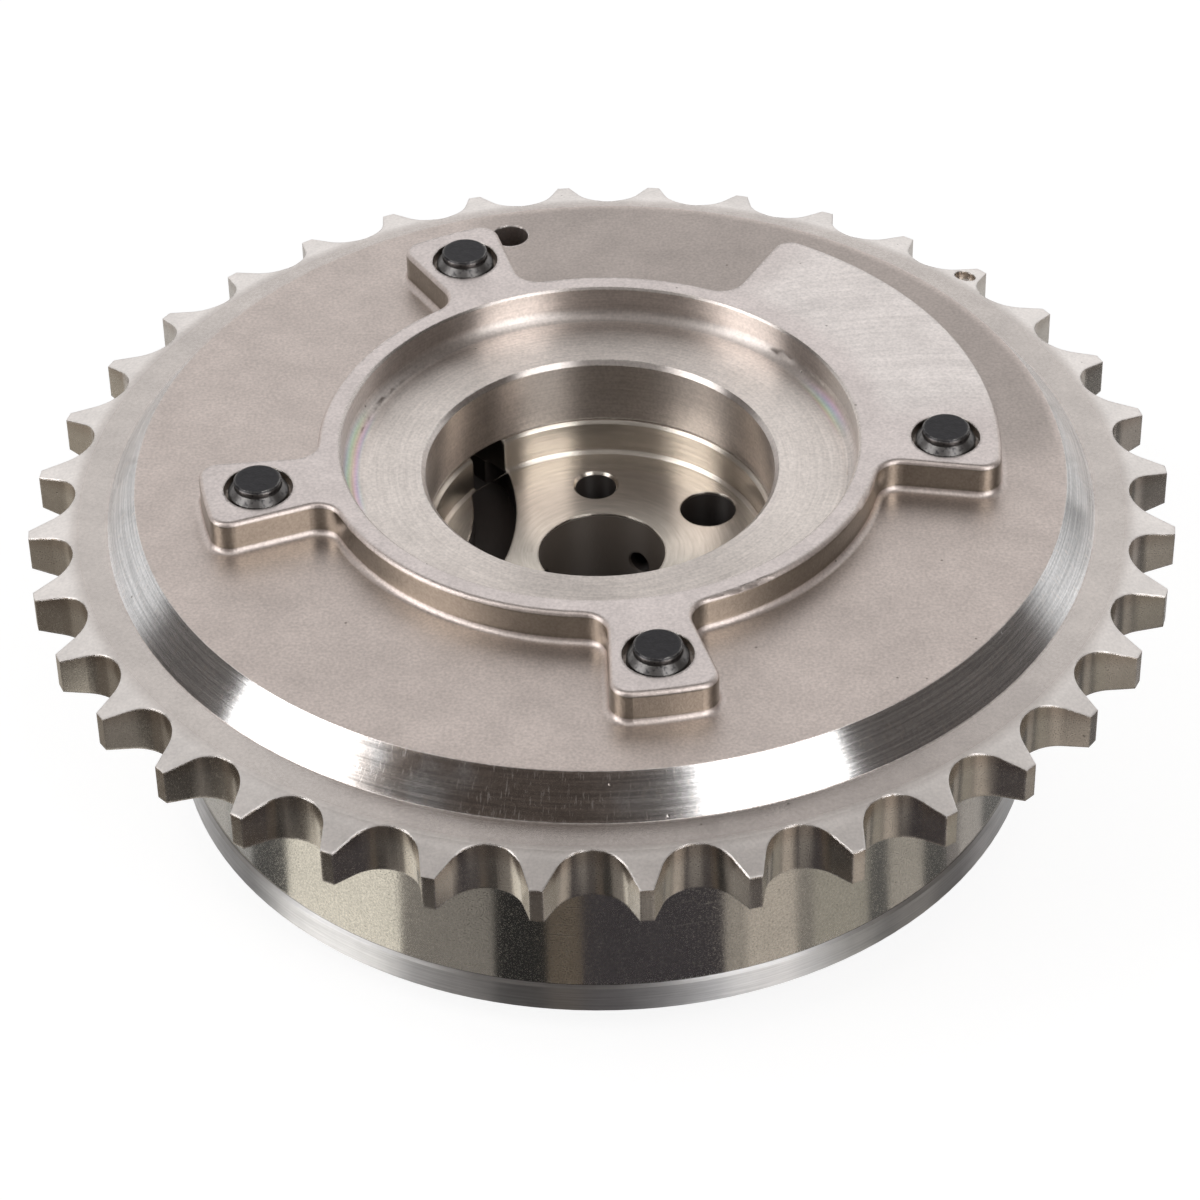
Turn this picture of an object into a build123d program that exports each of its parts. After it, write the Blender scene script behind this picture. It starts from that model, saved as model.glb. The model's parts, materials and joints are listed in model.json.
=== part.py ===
"""Vane-type cam phaser with an integral chain sprocket, seen from its camshaft side.

Units are millimetres. +Z points along the rotation axis towards the camshaft, the origin is on
that axis at the level of the bolt heads' lower faces, and +X passes through housing bolt 1.
"""
import os
from math import cos, hypot, isclose, pi, radians, sin

from build123d import *

os.makedirs("parts", exist_ok=True)

# Chain sprocket
teeth = 36
chain_pitch = 9.525
tooth_rise = 2.36
seating_r = 3.6
seating_rise = 1.55
flank_angle = 26.5
first_tooth_angle = 5.5
flange_t = 5.4
relief_inset = 0.15
relief_top = 1.05
relief_bottom = 0.6

# Sprocket plate
plate_t = 7.25
bevel_run = 3.0
bevel_foot_land = 3.49
bevel_foot_fillet = 0.9
spigot_depth = 1.9
spigot_clearance = 0.05
plate_bore_r = 17.35
plate_bore_chamfer = 0.43

# Raised spider on the plate
spider_h = 3.45
spider_wall = 2.28
lug_reach = 5.5
lug_half_angle = 7.8
wide_lug_end_angle = 62.3
lug_corner_r = 2.0
lug_root_r = 2.4
spider_edge_r = 0.55
spider_foot_r = 0.7
cam_recess_r = 25.57
cam_recess_depth = 3.5
cam_recess_fillet = 1.2
cam_recess_chamfer = 0.2

# Marks and holes in the plate
timing_hole_r = 1.95
timing_hole_inset = 1.94
timing_hole_angle = 104.7
mark_tooth = 4
mark_r = 1.15
mark_inset = 0.4
mark_depth = 1.6

# Housing and front cover
housing_r = 43.6
housing_h = 22.1
housing_wall = 5.1
lobe_half_angle = 9.5
lobe_tip_corner_r = 1.6
lobe_root_r = 1.0
cover_overhang = 0.3
cover_t = 3.5
cover_edge = 0.35

# Housing bolts, M6 with a low cap head
bolt_angles = [0.0, 115.7, 194.4, 280.5]
bolt_d = 5.9
bolt_hole_clearance = 0.35
bolt_slot_wall = 2.5
thread_clearance = 0.05
bolt_head_d = 10.0
bolt_head_h = 4.0
bolt_head_edge = 0.5
bolt_socket_width = 4.0
bolt_socket_depth = 2.3
bolt_dog_d = 4.7
bolt_dog_h = 0.75
bolt_dog_edge = 0.15
bolt_stand_out = 1.1
bolt_mouth_r = 3.4
bolt_mouth_depth = 1.2

# Rotor
hub_r = 24.0
lobe_clearance = 0.15
axial_clearance = 0.05
vane_tip_clearance = 0.15
vane_corner_r = 1.3
vane_root_r = 0.8
phase_range = 25.0
stop_gap_angle = 1.0
lock_vane_width = 41.0
vane_width = 16.0
vane_centres = [149.5, 227.0, 313.0]
boss_wall = 3.5
boss_clearance = 0.05
boss_set_back = 0.1
seat_inset = 0.5
seat_depth = 3.9
seat_foot_chamfer = 0.35
seat_chamfer = 0.3
bolt_seat_r = 11.5
web_t = 10.0
cam_bolt_hole_r = 6.4
dowel_hole_r = 2.1
dowel_hole_depth = 7.0
dowel_hole_pitch_r = 11.2
dowel_hole_angle = 94.5
dowel_hole_chamfer = 0.25
feed_hole_r = 2.85
feed_hole_pitch_r = 12.85
feed_hole_angle = 33.8
feed_hole_sump = 0.5
oil_slot_width = 4.4
oil_slot_lap = 0.35
oil_slot_angle = 135.1
oil_groove_depth = 3.0
oil_groove_bend_r = 24.0
oil_groove_mid = (-11.05, 5.6)
oil_groove_half_angle = 19.0
oil_port_r = 1.25
oil_port_lead = 3.5

# Lock pin, its bush, spring and retainer
pin_r = 4.0
pin_flange_r = 4.9
pin_flange_h = 2.5
pin_length = 15.0
pin_wall = 2.4
pin_clearance = 0.05
pin_set_back = 0.1
pin_crown_t = 3.0
pin_engagement = 2.8
pin_step_margin = 0.3
pin_feed_drop = 0.45
pin_edge = 0.4
bush_r = 6.4
bush_bore_clearance = 0.1
bush_h = 4.0
press_clearance = 0.04
retainer_h = 2.0
retainer_vent_r = 1.5
spring_wire_d = 0.7
spring_d = 4.9
spring_turns = 5
spring_bore_clearance = 0.3

# Vane and lobe seals with their leaf springs
seal_width = 2.0
seal_height = 3.2
seal_gap = 0.1
seal_side_clearance = 0.05
leaf_space = 1.0
leaf_t = 0.3
leaf_width = 1.5
leaf_end_gap = 2.0
leaf_clearance = 0.02
lock_vane_seal_offset = 13.0
wide_lobe_seal_offset = 24.2

# Levels along the axis, from the bolt heads up
cover_z = bolt_head_h
housing_z = cover_z + cover_t
plate_z = housing_z + housing_h
flange_z = plate_z - spigot_depth
flange_top_z = flange_z + flange_t
plate_top_z = plate_z + plate_t
spider_top_z = plate_top_z + spider_h
cam_recess_z = spider_top_z - cam_recess_depth
rotor_z = housing_z + axial_clearance
rotor_top_z = plate_z - axial_clearance
seat_z = rotor_top_z - seat_depth
bolt_seat_z = seat_z - web_t
boss_z = cover_z + boss_set_back
pin_top_z = rotor_top_z - pin_set_back
pin_z = pin_top_z - pin_length
pin_flange_top_z = pin_z + pin_flange_h
pin_step_z = pin_flange_top_z + pin_engagement + pin_step_margin
pin_crown_z = pin_top_z - pin_crown_t
pin_feed_z = pin_step_z - pin_feed_drop - oil_port_r
feed_hole_z = pin_feed_z - oil_port_r - feed_hole_sump
oil_port_z = seat_z - oil_groove_depth - 2 * oil_port_r
bolt_end_z = spider_top_z + bolt_stand_out
retainer_top_z = rotor_z + retainer_h

# Angles and radii that follow from the values above
pitch_r = chain_pitch / (2 * sin(pi / teeth))
tip_r = pitch_r + tooth_rise
seat_centre_r = pitch_r + seating_rise
root_r = seat_centre_r - seating_r
relief_start_r = root_r + relief_inset
mark_pitch_r = pitch_r - mark_inset
bevel_foot_r = root_r - bevel_foot_land
plate_top_r = bevel_foot_r - bevel_run
spigot_r = housing_r + spigot_clearance
chamber_r = housing_r - housing_wall
cover_r = housing_r + cover_overhang
seat_r = plate_bore_r - seat_inset
boss_r = bolt_seat_r + boss_wall
lobe_r = hub_r + lobe_clearance
lobe_slot_r = hub_r + seal_gap + seal_height + leaf_space
bolt_hole_r = bolt_d / 2 + bolt_hole_clearance
bolt_pitch_r = lobe_slot_r + bolt_slot_wall + bolt_hole_r
spider_ring_r = cam_recess_r + spider_wall
spider_lug_r = bolt_pitch_r + lug_reach
timing_hole_pitch_r = housing_r - timing_hole_inset
vane_r = chamber_r - vane_tip_clearance
vane_slot_r = chamber_r - seal_gap - seal_height - leaf_space
pin_pitch_r = vane_r - pin_wall - pin_flange_r - pin_clearance
lock_vane_start = bolt_angles[0] + lobe_half_angle + stop_gap_angle
lock_vane_end = lock_vane_start + lock_vane_width
lock_vane_centre = (lock_vane_start + lock_vane_end) / 2
wide_lobe_start = lock_vane_end + phase_range + stop_gap_angle
pin_bore_r = spring_d / 2 + spring_bore_clearance
oil_slot_inner_r = seat_r - oil_slot_lap
oil_slot_outer_r = hub_r + vane_root_r

# Each lobe and vane as start angle, end angle and the angle of its seal
lobes = [(a - lobe_half_angle, a + lobe_half_angle, a) for a in bolt_angles]
lobes[1] = (wide_lobe_start, lobes[1][1], wide_lobe_start + wide_lobe_seal_offset)
vanes = [(lock_vane_start, lock_vane_end, lock_vane_centre + lock_vane_seal_offset)]
vanes += [(a - vane_width / 2, a + vane_width / 2, a) for a in vane_centres]


def polar(radius, angle):
    """Return the point at a radius and an angle in degrees about the axis."""
    return (radius * cos(radians(angle)), radius * sin(radians(angle)))


pin_centre = polar(pin_pitch_r, lock_vane_centre)
pin_axis = Axis((*pin_centre, 0), (0, 0, 1))
feed_hole_centre = polar(feed_hole_pitch_r, feed_hole_angle)


def at_radius(radius):
    """Return a test for the vertices that lie at a radius from the axis."""
    return lambda vertex: isclose(hypot(vertex.X, vertex.Y), radius, abs_tol=1e-3)


def mid_radius(edge):
    """Return the distance of an edge's middle from the axis."""
    middle = edge @ 0.5
    return hypot(middle.X, middle.Y)


def radial_plane(angle, radius=0.0):
    """Return the upright plane with its x axis pointing outwards and its y axis along +Z."""
    outwards = polar(1, angle)
    return Plane((*polar(radius, angle), 0), x_dir=(*outwards, 0), z_dir=(outwards[1], -outwards[0], 0))


def sector(start, end, inner, outer):
    """Return the face between two radii and two angles."""
    with BuildSketch() as shape:
        with BuildLine():
            CenterArc((0, 0), outer, start, end - start)
            Line(polar(outer, end), polar(inner, end))
            CenterArc((0, 0), inner, start, end - start)
            Line(polar(inner, start), polar(outer, start))
        make_face()
    return shape.sketch


def tooth_gap():
    """Return one gap between two teeth, centred on +X: a roller seat and two straight flanks."""
    foot_x = seat_centre_r - seating_r * sin(radians(flank_angle))
    foot_y = seating_r * cos(radians(flank_angle))
    mouth_x = tip_r + tooth_rise
    mouth_y = foot_y + (mouth_x - foot_x) * sin(radians(flank_angle)) / cos(radians(flank_angle))
    with BuildSketch() as shape:
        with BuildLine():
            ThreePointArc((foot_x, -foot_y), (root_r, 0), (foot_x, foot_y))
            Polyline((foot_x, foot_y), (mouth_x, mouth_y), (mouth_x, -mouth_y), (foot_x, -foot_y))
        make_face()
    return shape.sketch


# Sprocket plate: the toothed flange, its bevel and the locating recess are turned about the axis
with BuildPart() as sprocket_plate:
    with BuildSketch(Plane.XZ) as plate_section:
        with BuildLine():
            Polyline(
                (plate_bore_r, plate_z),
                (spigot_r, plate_z),
                (spigot_r, flange_z),
                (relief_start_r, flange_z),
                (tip_r, flange_z + relief_bottom),
                (tip_r, flange_top_z - relief_top),
                (relief_start_r, flange_top_z),
                (bevel_foot_r, flange_top_z),
                (plate_top_r, plate_top_z),
                (plate_bore_r, plate_top_z),
                close=True,
            )
        make_face()
        bevel_foot = plate_section.vertices().sort_by_distance((bevel_foot_r, 0, flange_top_z))[0]
        fillet(bevel_foot, bevel_foot_fillet)
    revolve(axis=Axis.Z)
    # The raised ring and its lugs over the housing bolts, the widest over the lock pin
    with BuildSketch(Plane.XY.offset(plate_top_z)) as spider:
        Circle(spider_ring_r)
        for angle in bolt_angles[1:]:
            add(sector(angle - lug_half_angle, angle + lug_half_angle, cam_recess_r, spider_lug_r))
        add(sector(bolt_angles[0] - lug_half_angle, wide_lug_end_angle, cam_recess_r, spider_lug_r))
        fillet(spider.vertices().filter_by(at_radius(spider_lug_r)), lug_corner_r)
        fillet(spider.vertices().filter_by(at_radius(spider_ring_r)), lug_root_r)
    extrude(amount=spider_h)
    fillet(sprocket_plate.edges().group_by(Axis.Z)[-1], spider_edge_r)
    foot = sprocket_plate.edges().filter_by_position(Axis.Z, plate_top_z, plate_top_z)
    foot = foot.filter_by(lambda edge: cam_recess_r < mid_radius(edge) < spider_lug_r + spider_wall)
    fillet(foot, spider_foot_r)
    # The recess that clears the camshaft's flange, above the bore for its nose
    with BuildSketch(Plane.XY.offset(cam_recess_z)):
        Circle(cam_recess_r)
    extrude(amount=cam_recess_depth, mode=Mode.SUBTRACT)
    recess_edges = sprocket_plate.edges().filter_by(GeomType.CIRCLE)
    recess_edges = recess_edges.filter_by(lambda edge: isclose(edge.radius, cam_recess_r, abs_tol=1e-3))
    fillet(recess_edges.sort_by(Axis.Z)[0], cam_recess_fillet)
    chamfer(recess_edges.sort_by(Axis.Z)[-1], cam_recess_chamfer)
    bore_edges = sprocket_plate.edges().filter_by(GeomType.CIRCLE)
    bore_edges = bore_edges.filter_by(lambda edge: isclose(edge.radius, plate_bore_r, abs_tol=1e-3))
    chamfer(bore_edges.sort_by(Axis.Z)[-1], plate_bore_chamfer)
    # Tooth gaps
    with BuildSketch(Plane.XY.offset(flange_z)):
        with PolarLocations(0, teeth, first_tooth_angle + 180 / teeth):
            add(tooth_gap())
    extrude(amount=flange_t, mode=Mode.SUBTRACT)
    # Tapped bolt holes with their wider mouths, and the timing tool's hole
    with BuildSketch(Plane.XY.offset(plate_z)):
        with Locations(*[polar(bolt_pitch_r, angle) for angle in bolt_angles]):
            Circle(bolt_d / 2 + thread_clearance)
        with Locations(polar(timing_hole_pitch_r, timing_hole_angle)):
            Circle(timing_hole_r)
    extrude(amount=plate_t + spider_h, mode=Mode.SUBTRACT)
    with BuildSketch(Plane.XY.offset(spider_top_z)):
        with Locations(*[polar(bolt_pitch_r, angle) for angle in bolt_angles]):
            Circle(bolt_mouth_r)
    extrude(amount=-bolt_mouth_depth, mode=Mode.SUBTRACT)
    # Pocket for the lock pin's bush, and the punched timing mark on one tooth
    with BuildSketch(Plane.XY.offset(plate_z)):
        with Locations(polar(pin_pitch_r, lock_vane_centre)):
            Circle(bush_r + press_clearance)
    extrude(amount=bush_h, mode=Mode.SUBTRACT)
    with BuildSketch(Plane.XY.offset(flange_top_z - mark_depth)):
        with Locations(polar(mark_pitch_r, first_tooth_angle + mark_tooth * 360 / teeth)):
            Circle(mark_r)
    extrude(amount=mark_depth, mode=Mode.SUBTRACT)
sprocket_plate.part.label = "sprocket_plate"
export_step(sprocket_plate.part, "parts/sprocket_plate.step")

# Inside outline of the housing, with lobes that carry the bolts and divide the oil chambers
with BuildSketch() as chambers:
    Circle(chamber_r)
    for start, end, _ in lobes:
        add(sector(start, end, hub_r, chamber_r + lobe_root_r), mode=Mode.SUBTRACT)
    Circle(lobe_r)
    fillet(chambers.vertices().filter_by(at_radius(lobe_r)), lobe_tip_corner_r)
    fillet(chambers.vertices().filter_by(at_radius(chamber_r)), lobe_root_r)

with BuildPart() as housing:
    with BuildSketch(Plane.XY.offset(housing_z)):
        Circle(housing_r)
        add(chambers.sketch, mode=Mode.SUBTRACT)
        with Locations(*[polar(bolt_pitch_r, angle) for angle in bolt_angles]):
            Circle(bolt_hole_r, mode=Mode.SUBTRACT)
        for _, _, angle in lobes:
            with PolarLocations((hub_r + lobe_slot_r) / 2, 1, angle):
                Rectangle(lobe_slot_r - hub_r, seal_width, mode=Mode.SUBTRACT)
    extrude(amount=housing_h)
housing.part.label = "housing"
export_step(housing.part, "parts/housing.step")

# Front cover: a flat ring whose bore carries the rotor's boss
with BuildPart() as front_cover:
    with BuildSketch(Plane.XY.offset(cover_z)):
        Circle(cover_r)
        Circle(boss_r + boss_clearance, mode=Mode.SUBTRACT)
        with Locations(*[polar(bolt_pitch_r, angle) for angle in bolt_angles]):
            Circle(bolt_hole_r, mode=Mode.SUBTRACT)
    extrude(amount=cover_t)
    rims = front_cover.edges().filter_by(GeomType.CIRCLE)
    rims = rims.filter_by(lambda edge: isclose(edge.radius, cover_r, abs_tol=1e-3))
    chamfer(rims, cover_edge)
front_cover.part.label = "front_cover"
export_step(front_cover.part, "parts/front_cover.step")

# Housing bolts: low cap screws whose dog points stand out of the spider's lugs
for number, angle in enumerate(bolt_angles, 1):
    centre = polar(bolt_pitch_r, angle)
    with BuildPart() as housing_bolt:
        with BuildSketch(radial_plane(angle, bolt_pitch_r)):
            with BuildLine():
                Polyline(
                    (0, 0),
                    (bolt_head_d / 2, 0),
                    (bolt_head_d / 2, cover_z),
                    (bolt_d / 2, cover_z),
                    (bolt_d / 2, bolt_end_z - bolt_dog_h - (bolt_d - bolt_dog_d) / 2),
                    (bolt_dog_d / 2, bolt_end_z - bolt_dog_h),
                    (bolt_dog_d / 2, bolt_end_z - bolt_dog_edge),
                    (bolt_dog_d / 2 - bolt_dog_edge, bolt_end_z),
                    (0, bolt_end_z),
                    close=True,
                )
            make_face()
        revolve(axis=Axis((*centre, 0), (0, 0, 1)))
        chamfer(housing_bolt.edges().group_by(Axis.Z)[0], bolt_head_edge)
        with BuildSketch():
            with Locations(centre):
                RegularPolygon(bolt_socket_width / 2, 6, major_radius=False)
        extrude(amount=bolt_socket_depth, mode=Mode.SUBTRACT)
    housing_bolt.part.label = f"housing_bolt_{number}"
    export_step(housing_bolt.part, f"parts/housing_bolt_{number}.step")

# Rotor: a hub with a wide vane for the lock pin and three narrow ones
with BuildPart() as rotor:
    with BuildSketch(Plane.XY.offset(rotor_z)) as rotor_section:
        Circle(hub_r)
        for start, end, _ in vanes:
            add(sector(start, end, seat_r, vane_r))
        fillet(rotor_section.vertices().filter_by(at_radius(vane_r)), vane_corner_r)
        fillet(rotor_section.vertices().filter_by(at_radius(hub_r)), vane_root_r)
        for _, _, angle in vanes:
            with PolarLocations((vane_slot_r + chamber_r) / 2, 1, angle):
                Rectangle(chamber_r - vane_slot_r, seal_width, mode=Mode.SUBTRACT)
    extrude(amount=rotor_top_z - rotor_z)
    with BuildSketch(Plane.XY.offset(boss_z)):
        Circle(boss_r)
    extrude(amount=rotor_z - boss_z)
    # The camshaft's seat on top, the bolt head's counterbore below and the bolt hole between
    with BuildSketch(Plane.XY.offset(seat_z)):
        Circle(seat_r)
    extrude(amount=seat_depth, mode=Mode.SUBTRACT)
    seat_edges = rotor.edges().filter_by(GeomType.CIRCLE)
    seat_edges = seat_edges.filter_by(lambda edge: isclose(edge.radius, seat_r, abs_tol=1e-3))
    chamfer(seat_edges.sort_by(Axis.Z)[0], seat_foot_chamfer)
    chamfer(seat_edges.sort_by(Axis.Z)[-1], seat_chamfer)
    with BuildSketch(Plane.XY.offset(boss_z)):
        Circle(bolt_seat_r)
    extrude(amount=bolt_seat_z - boss_z, mode=Mode.SUBTRACT)
    with BuildSketch(Plane.XY.offset(bolt_seat_z)):
        Circle(cam_bolt_hole_r)
    extrude(amount=web_t, mode=Mode.SUBTRACT)
    # Dowel hole with its lead-in, and the oil feed hole
    with BuildSketch(Plane.XY.offset(seat_z)):
        with Locations(polar(dowel_hole_pitch_r, dowel_hole_angle)):
            Circle(dowel_hole_r)
    extrude(amount=-dowel_hole_depth, mode=Mode.SUBTRACT)
    dowel_rims = rotor.edges().filter_by(GeomType.CIRCLE)
    dowel_rims = dowel_rims.filter_by(lambda edge: isclose(edge.radius, dowel_hole_r, abs_tol=1e-3))
    chamfer(dowel_rims.sort_by(Axis.Z)[-1], dowel_hole_chamfer)
    with BuildSketch(Plane.XY.offset(feed_hole_z)):
        with Locations(feed_hole_centre):
            Circle(feed_hole_r)
    extrude(amount=seat_z - feed_hole_z, mode=Mode.SUBTRACT)
    # Curved oil groove in the seat, and the slot that takes it out through the rim
    with BuildSketch(Plane.XY.offset(seat_z - oil_groove_depth)):
        bend_centre = (oil_groove_mid[0] - oil_groove_bend_r, oil_groove_mid[1])
        bend = CenterArc(bend_centre, oil_groove_bend_r, -oil_groove_half_angle, 2 * oil_groove_half_angle,
                         mode=Mode.PRIVATE)
        SlotArc(bend, oil_slot_width)
    extrude(amount=oil_groove_depth, mode=Mode.SUBTRACT)
    with BuildSketch(Plane.XY.offset(seat_z - oil_groove_depth)):
        with PolarLocations((oil_slot_inner_r + oil_slot_outer_r) / 2, 1, oil_slot_angle):
            Rectangle(oil_slot_outer_r - oil_slot_inner_r, oil_slot_width)
    extrude(amount=oil_groove_depth + seat_depth, mode=Mode.SUBTRACT)
    # Drilled ports from the bolt hole to each chamber, and one from the feed hole to the lock pin
    for _, end, _ in vanes:
        outwards = polar(1, end + oil_port_lead)
        with BuildSketch(Plane((0, 0, oil_port_z), z_dir=(*outwards, 0))):
            Circle(oil_port_r)
        extrude(amount=hub_r + vane_root_r, mode=Mode.SUBTRACT)
    pin_feed = Vector(*pin_centre) - Vector(*feed_hole_centre)
    with BuildSketch(Plane((*feed_hole_centre, pin_feed_z), z_dir=pin_feed)):
        Circle(oil_port_r)
    extrude(amount=pin_feed.length, mode=Mode.SUBTRACT)
    # Stepped bore of the lock pin
    with BuildSketch(Plane.XY.offset(rotor_z)):
        with Locations(pin_centre):
            Circle(pin_flange_r + pin_clearance)
    extrude(amount=pin_step_z - rotor_z, mode=Mode.SUBTRACT)
    with BuildSketch(Plane.XY.offset(pin_step_z)):
        with Locations(pin_centre):
            Circle(pin_r + pin_clearance)
    extrude(amount=rotor_top_z - pin_step_z, mode=Mode.SUBTRACT)
rotor.part.label = "rotor"
export_step(rotor.part, "parts/rotor.step")

# Lock pin: a hollow pin with a flange at its foot, drawn back clear of the bush
with BuildPart() as lock_pin:
    with BuildSketch(radial_plane(lock_vane_centre, pin_pitch_r)):
        with BuildLine():
            Polyline(
                (pin_bore_r, pin_z),
                (pin_flange_r, pin_z),
                (pin_flange_r, pin_flange_top_z),
                (pin_r, pin_flange_top_z),
                (pin_r, pin_top_z - pin_edge),
                (pin_r - pin_edge, pin_top_z),
                (0, pin_top_z),
                (0, pin_crown_z),
                (pin_bore_r, pin_crown_z),
                close=True,
            )
        make_face()
    revolve(axis=pin_axis)
lock_pin.part.label = "lock_pin"
export_step(lock_pin.part, "parts/lock_pin.step")

# Bush in the plate that the pin locks into
with BuildPart() as lock_bush:
    with BuildSketch(Plane.XY.offset(plate_z)):
        with Locations(pin_centre):
            Circle(bush_r)
            Circle(pin_r + bush_bore_clearance, mode=Mode.SUBTRACT)
    extrude(amount=bush_h)
    chamfer(lock_bush.edges().group_by(Axis.Z)[0].sort_by(SortBy.LENGTH)[0], pin_edge)
lock_bush.part.label = "lock_bush"
export_step(lock_bush.part, "parts/lock_bush.step")

# Retainer pressed into the foot of the pin's bore, with a vent through it
with BuildPart() as lock_pin_retainer:
    with BuildSketch(Plane.XY.offset(rotor_z)):
        with Locations(pin_centre):
            Circle(pin_flange_r + pin_clearance - press_clearance)
            Circle(retainer_vent_r, mode=Mode.SUBTRACT)
    extrude(amount=retainer_h)
lock_pin_retainer.part.label = "lock_pin_retainer"
export_step(lock_pin_retainer.part, "parts/lock_pin_retainer.step")

# Coil spring between the retainer and the pin's crown
with BuildPart() as lock_pin_spring:
    with BuildLine() as coil:
        coil_rise = pin_crown_z - retainer_top_z - spring_wire_d
        Helix(
            coil_rise / spring_turns,
            coil_rise,
            (spring_d - spring_wire_d) / 2,
            center=(*pin_centre, retainer_top_z + spring_wire_d / 2),
        )
    with BuildSketch(Plane(coil.line @ 0, z_dir=coil.line % 0)):
        Circle(spring_wire_d / 2)
    sweep(path=coil.line, is_frenet=True)
lock_pin_spring.part.label = "lock_pin_spring"
export_step(lock_pin_spring.part, "parts/lock_pin_spring.step")


def make_seal(name, angle, inner_r):
    """Make one seal strip as long as the rotor, and write it."""
    with BuildPart() as seal:
        with BuildSketch(Plane.XY.offset(rotor_z)):
            with PolarLocations(inner_r + seal_height / 2, 1, angle):
                Rectangle(seal_height, seal_width - 2 * seal_side_clearance)
        extrude(amount=rotor_top_z - rotor_z)
    seal.part.label = name
    export_step(seal.part, f"parts/{name}.step")


def make_leaf(name, angle, inner_r):
    """Make one bowed leaf spring that fills the space behind a seal, and write it."""
    low, high = rotor_z + leaf_end_gap, rotor_top_z - leaf_end_gap
    middle = (low + high) / 2
    foot = inner_r + leaf_clearance
    crown = inner_r + leaf_space - leaf_clearance
    with BuildPart() as leaf:
        with BuildSketch(radial_plane(angle)):
            with BuildLine():
                ThreePointArc((foot, low), (crown - leaf_t, middle), (foot, high))
                Line((foot, high), (foot + leaf_t, high))
                ThreePointArc((foot + leaf_t, high), (crown, middle), (foot + leaf_t, low))
                Line((foot + leaf_t, low), (foot, low))
            make_face()
        extrude(amount=leaf_width / 2, both=True)
    leaf.part.label = name
    export_step(leaf.part, f"parts/{name}.step")


for number, (_, _, angle) in enumerate(vanes, 1):
    make_seal(f"vane_seal_{number}", angle, vane_slot_r + leaf_space)
    make_leaf(f"vane_seal_spring_{number}", angle, vane_slot_r)
for number, (_, _, angle) in enumerate(lobes, 1):
    make_seal(f"lobe_seal_{number}", angle, hub_r + seal_gap)
    make_leaf(f"lobe_seal_spring_{number}", angle, hub_r + seal_gap + seal_height)
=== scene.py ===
"""Finishes, stage and camera for a vane-type cam phaser with an integral chain sprocket.

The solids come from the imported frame. Each operator here gives one group of them its finish.
Lengths are metres, as in Blender, and the patterns in the materials are worked out in millimetres.
"""
import json
from math import cos, degrees, pi, radians, sin
from types import SimpleNamespace

import bmesh
import bpy
from bpy.props import FloatProperty, FloatVectorProperty, PointerProperty
from mathutils import Matrix, Vector


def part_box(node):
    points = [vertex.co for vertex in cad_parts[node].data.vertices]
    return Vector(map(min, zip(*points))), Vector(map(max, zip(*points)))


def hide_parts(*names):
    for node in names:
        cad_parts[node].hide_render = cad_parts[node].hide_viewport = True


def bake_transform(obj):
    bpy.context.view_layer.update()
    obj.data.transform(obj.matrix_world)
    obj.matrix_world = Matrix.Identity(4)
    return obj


bl_info = {
    "name": "Cam Phaser",
    "version": (1, 0, 0),
    "blender": (4, 5, 0),
    "location": "3D View > Sidebar > Cam Phaser",
    "description": "Metal finishes and a studio stage for a cam phaser",
    "category": "Object",
}

MM = 0.001

# Past every length in millimetres and every noise value, so a limit that leaves that side open
FAR = 90.0

# Bolts, vanes and lobes come in fours
COUNT = 4

# Sectors where a finish differs, or where painted shade, reflections and highlights lie, in degrees round the
# axis
WIDE_LUG = (8, 58)
REAR_SHADE = (3, 108)
RING_REFLECTION = (-108, -38)
BEVEL_REFLECTION = (-118, -84)
SCRATCHED_DRUM = (-98, -72)
RAINBOW_RIGHT = (16, 29.8)
RAINBOW_LEFT = (163.3, 230)

# The point on the plate, in millimetres, that the milling marks on the wide lug run round
MILLING_CENTRE = (34.0, -30.0, 0.0)

# Radius of the tooth tips and pitch of the bolts' thread, in millimetres
TIP_RADIUS = 57
THREAD_PITCH = 1.0

# Grey cards on the floor: the angles on the drum where each one shows, in degrees, and its tone
CARDS = (
    (-149, -143, "aaaaaa"),
    (-143, -135, "545454"),
    (-135, -116, "f8f4ea"),
    (-116, -103, "8a8682"),
    (-103, -96, "2f2f2f"),
    (-96, -91.5, "685f56"),
    (-91.5, -73, "454246"),
    (-73, -70, "a49e98"),
    (-70, -63, "c6beb6"),
    (-63, -60.5, "8c8884"),
    (-60.5, -52, "a8a49c"),
    (-52, -48.5, "606060"),
    (-48.5, -42, "aea9a3"),
    (-42, -37, "585858"),
    (-37, -34, "888484"),
    (-34, -28, "b4b0ae"),
    (-28, -20, "6c6c6c"),
)

# Cards further out, which show in the tooth gaps: start and end in degrees round the axis, distance
# from the axis in millimetres, and tone
FAR_CARDS = (
    (-202, -178, 63, "b4aea4"),
    (-178, -155, 70, "8e8880"),
    (-155, -140, 74, "665f58"),
    (-140, -125, 79, "4a4643"),
    (-125, -112, 84, "343232"),
    (-112, -97, 83, "5c5856"),
    (-97, -84, 84, "686462"),
    (-84, -70, 82, "9c9894"),
)

# Heights of the cards over the floor, so that no two of them lie in one plane
CARD_LEVEL = 0.1 * MM
FAR_CARD_LEVEL = 0.2 * MM

# Where the paper behind the part and the ceiling begin and end, as parts of a unit direction
PAPER_EDGE = (0.27, 0.47)
CEILING_EDGE = (0.75, 0.85)

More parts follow.
